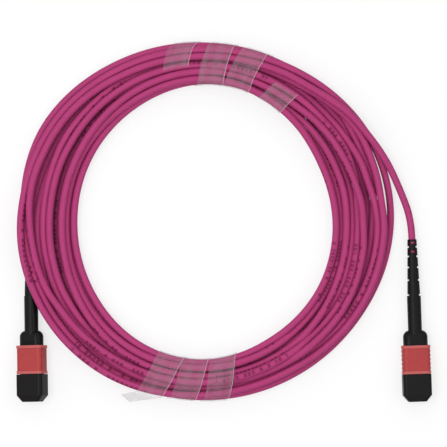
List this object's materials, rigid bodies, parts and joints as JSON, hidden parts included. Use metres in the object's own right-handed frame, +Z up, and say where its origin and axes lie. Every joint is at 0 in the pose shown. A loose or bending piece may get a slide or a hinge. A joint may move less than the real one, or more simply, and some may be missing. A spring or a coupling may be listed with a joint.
{
  "type": "mpo patch cable",
  "caption": "Multi-fibre patch cable in a magenta jacket, wound in a flat coil held by film ties, with capped push-on plugs, sliding sleeves and slotted strain relief boots.",
  "frame": {"origin": "centre of the plan box of the plugs and ties, on the surface the cable lies on", "axes": "+Z up from the surface, +X from the left plug towards the right plug, +Y from the plugs towards the coil's far side"},
  "size_m": [0.1761, 0.1546, 0.0123],
  "materials": {
    "cable_jacket": "satin magenta jacket",
    "tie_film": "clear film",
    "cap_plastic": "satin black",
    "sleeve_plastic": "satin coral red",
    "housing_plastic": "black",
    "ferrule_resin": "filled resin",
    "ferrule_rubber": "soft rubber",
    "keeper_steel": "stamped",
    "spring_steel": "spring wire",
    "crimp_metal": "nickel-plated",
    "boot_rubber": "matt black",
    "fibre_coating": "coated ribbon"
  },
  "bodies": {
    "cable": {"cable_coil": "cable_jacket", "lead_a": "cable_jacket", "lead_b": "cable_jacket", "film_tie_top": "tie_film", "film_tie_bottom": "tie_film", "plug_housing_a": "housing_plastic", "sleeve_springs_a": "spring_steel", "ferrule_spring_a": "spring_steel", "rear_body_a": "housing_plastic", "crimp_ring_a": "crimp_metal", "strain_relief_boot_a": "boot_rubber", "fibre_ribbon_a": "fibre_coating", "plug_housing_b": "housing_plastic", "sleeve_springs_b": "spring_steel", "ferrule_spring_b": "spring_steel", "rear_body_b": "housing_plastic", "crimp_ring_b": "crimp_metal", "strain_relief_boot_b": "boot_rubber", "fibre_ribbon_b": "fibre_coating"},
    "cap_a": {"dust_cap_a": "cap_plastic"},
    "sleeve_a": {"coupling_sleeve_a": "sleeve_plastic"},
    "float_a": {"ferrule_a": "ferrule_resin", "ferrule_boot_a": "ferrule_rubber", "pin_keeper_a": "keeper_steel"},
    "cap_b": {"dust_cap_b": "cap_plastic"},
    "sleeve_b": {"coupling_sleeve_b": "sleeve_plastic"},
    "float_b": {"ferrule_b": "ferrule_resin", "ferrule_boot_b": "ferrule_rubber", "pin_keeper_b": "keeper_steel"}
  },
  "joints": [
    {"name": "cap_pull_a", "type": "slide", "parent": "cable", "child": "cap_a", "axis": [0.0174, -0.9979, 0.0628], "range_m": [0, 0.025]},
    {"name": "sleeve_slide_a", "type": "slide", "parent": "cable", "child": "sleeve_a", "axis": [-0.0174, 0.9979, -0.0628], "range_m": [0, 0.003], "stiffness_N_per_m": 400, "deforming": ["sleeve_springs_a"]},
    {"name": "ferrule_float_a", "type": "slide", "parent": "cable", "child": "float_a", "axis": [-0.0174, 0.9979, -0.0628], "range_m": [0, 0.0008], "stiffness_N_per_m": 2000, "deforming": ["ferrule_spring_a"]},
    {"name": "cap_pull_b", "type": "slide", "parent": "cable", "child": "cap_b", "axis": [0.0332, -0.9993, 0.0175], "range_m": [0, 0.025]},
    {"name": "sleeve_slide_b", "type": "slide", "parent": "cable", "child": "sleeve_b", "axis": [-0.0332, 0.9993, -0.0175], "range_m": [0, 0.003], "stiffness_N_per_m": 400, "deforming": ["sleeve_springs_b"]},
    {"name": "ferrule_float_b", "type": "slide", "parent": "cable", "child": "float_b", "axis": [-0.0332, 0.9993, -0.0175], "range_m": [0, 0.0008], "stiffness_N_per_m": 2000, "deforming": ["ferrule_spring_b"]}
  ]
}
